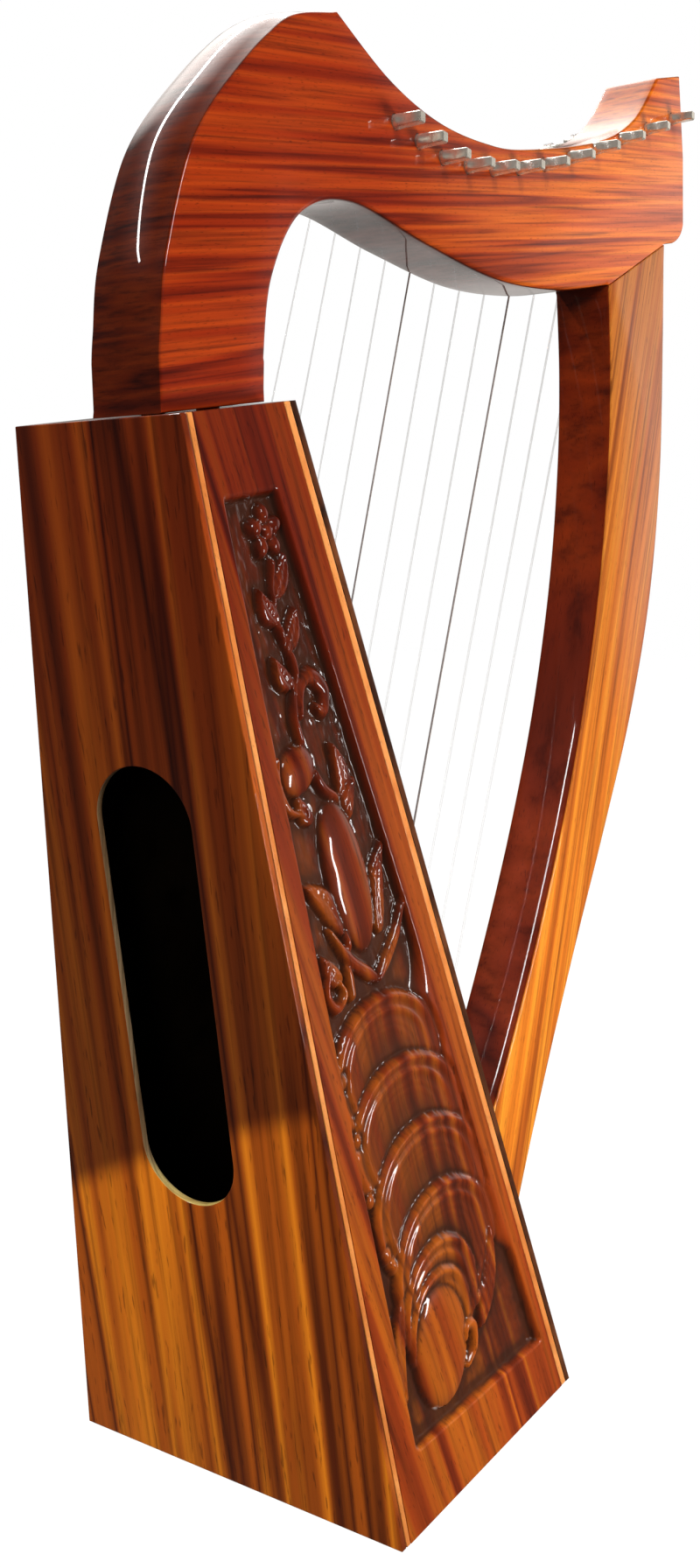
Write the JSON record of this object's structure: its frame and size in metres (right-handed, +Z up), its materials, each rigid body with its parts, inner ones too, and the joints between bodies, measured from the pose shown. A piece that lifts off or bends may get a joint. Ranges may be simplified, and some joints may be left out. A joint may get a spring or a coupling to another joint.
{
  "type": "lap harp",
  "caption": "Small lacquered rosewood lap harp: tapered square-backed soundbox with carved sides, scooped neck, bowed pillar, strings and turning tuning pins.",
  "frame": {"origin": "middle of the soundbox's flat underside, on the surface that the harp stands on", "axes": "+X from the soundbox's back towards the pillar, +Y to the player's left (the string side), +Z up"},
  "size_m": [0.4406, 0.152, 0.609],
  "materials": {
    "rosewood": "high gloss lacquer over red-brown rosewood with dark straight grain",
    "back_wood": "gloss lacquer over striped brown rosewood",
    "board_wood": "gloss lacquer over dark straight-grained soundboard",
    "binding": "pale wood binding under gloss lacquer",
    "bare_wood": "unfinished sanded wood",
    "pin_steel": "nickel-plated, polished",
    "bridge_brass": "polished",
    "string_clear": "smooth clear nylon monofilament",
    "string_dark": "smooth dyed nylon monofilament"
  },
  "bodies": {
    "harp_frame": {"back_panel": "back_wood", "side_panel_right": "rosewood", "side_panel_left": "rosewood", "soundboard": "board_wood", "base_board": "rosewood", "top_block": "rosewood", "toe_block": "bare_wood", "string_rib": "rosewood", "inner_rib": "bare_wood", "neck": "rosewood", "pillar": "rosewood", "neck_dowel_1": "bare_wood", "neck_dowel_2": "bare_wood", "pillar_dowel": "bare_wood", "foot_bolt_1": "pin_steel", "foot_bolt_2": "pin_steel", "back_binding_right": "binding", "front_binding_right": "binding", "back_lining_right": "bare_wood", "front_lining_right": "bare_wood", "back_binding_left": "binding", "front_binding_left": "binding", "back_lining_left": "bare_wood", "front_lining_left": "bare_wood", "bridge_pin_01": "bridge_brass", "string_01": "string_clear", "bridge_pin_02": "bridge_brass", "string_02": "string_clear", "bridge_pin_03": "bridge_brass", "string_03": "string_clear", "bridge_pin_04": "bridge_brass", "string_04": "string_clear", "bridge_pin_05": "bridge_brass", "string_05": "string_dark", "bridge_pin_06": "bridge_brass", "string_06": "string_clear", "bridge_pin_07": "bridge_brass", "string_07": "string_clear", "bridge_pin_08": "bridge_brass", "string_08": "string_clear", "bridge_pin_09": "bridge_brass", "string_09": "string_dark", "bridge_pin_10": "bridge_brass", "string_10": "string_clear", "bridge_pin_11": "bridge_brass", "string_11": "string_clear", "bridge_pin_12": "bridge_brass", "string_12": "string_clear"},
    "tuning_pin_01": {"tuning_pin_01": "pin_steel"},
    "tuning_pin_02": {"tuning_pin_02": "pin_steel"},
    "tuning_pin_03": {"tuning_pin_03": "pin_steel"},
    "tuning_pin_04": {"tuning_pin_04": "pin_steel"},
    "tuning_pin_05": {"tuning_pin_05": "pin_steel"},
    "tuning_pin_06": {"tuning_pin_06": "pin_steel"},
    "tuning_pin_07": {"tuning_pin_07": "pin_steel"},
    "tuning_pin_08": {"tuning_pin_08": "pin_steel"},
    "tuning_pin_09": {"tuning_pin_09": "pin_steel"},
    "tuning_pin_10": {"tuning_pin_10": "pin_steel"},
    "tuning_pin_11": {"tuning_pin_11": "pin_steel"},
    "tuning_pin_12": {"tuning_pin_12": "pin_steel"}
  },
  "joints": [
    {"name": "tuning_pin_01_turn", "type": "hinge", "parent": "harp_frame", "child": "tuning_pin_01", "pos_m": [0.009, -0.0075, 0.51548], "axis": [0, 1, 0], "continuous": true},
    {"name": "tuning_pin_02_turn", "type": "hinge", "parent": "harp_frame", "child": "tuning_pin_02", "pos_m": [0.026, -0.0075, 0.51251], "axis": [0, 1, 0], "continuous": true},
    {"name": "tuning_pin_03_turn", "type": "hinge", "parent": "harp_frame", "child": "tuning_pin_03", "pos_m": [0.0446, -0.0075, 0.51078], "axis": [0, 1, 0], "continuous": true},
    {"name": "tuning_pin_04_turn", "type": "hinge", "parent": "harp_frame", "child": "tuning_pin_04", "pos_m": [0.0648, -0.0075, 0.51203], "axis": [0, 1, 0], "continuous": true},
    {"name": "tuning_pin_05_turn", "type": "hinge", "parent": "harp_frame", "child": "tuning_pin_05", "pos_m": [0.0866, -0.0075, 0.51582], "axis": [0, 1, 0], "continuous": true},
    {"name": "tuning_pin_06_turn", "type": "hinge", "parent": "harp_frame", "child": "tuning_pin_06", "pos_m": [0.11, -0.0075, 0.52141], "axis": [0, 1, 0], "continuous": true},
    {"name": "tuning_pin_07_turn", "type": "hinge", "parent": "harp_frame", "child": "tuning_pin_07", "pos_m": [0.135, -0.0075, 0.52851], "axis": [0, 1, 0], "continuous": true},
    {"name": "tuning_pin_08_turn", "type": "hinge", "parent": "harp_frame", "child": "tuning_pin_08", "pos_m": [0.1616, -0.0075, 0.53761], "axis": [0, 1, 0], "continuous": true},
    {"name": "tuning_pin_09_turn", "type": "hinge", "parent": "harp_frame", "child": "tuning_pin_09", "pos_m": [0.1898, -0.0075, 0.54831], "axis": [0, 1, 0], "continuous": true},
    {"name": "tuning_pin_10_turn", "type": "hinge", "parent": "harp_frame", "child": "tuning_pin_10", "pos_m": [0.2196, -0.0075, 0.55974], "axis": [0, 1, 0], "continuous": true},
    {"name": "tuning_pin_11_turn", "type": "hinge", "parent": "harp_frame", "child": "tuning_pin_11", "pos_m": [0.251, -0.0075, 0.57188], "axis": [0, 1, 0], "continuous": true},
    {"name": "tuning_pin_12_turn", "type": "hinge", "parent": "harp_frame", "child": "tuning_pin_12", "pos_m": [0.284, -0.0075, 0.58486], "axis": [0, 1, 0], "continuous": true}
  ]
}
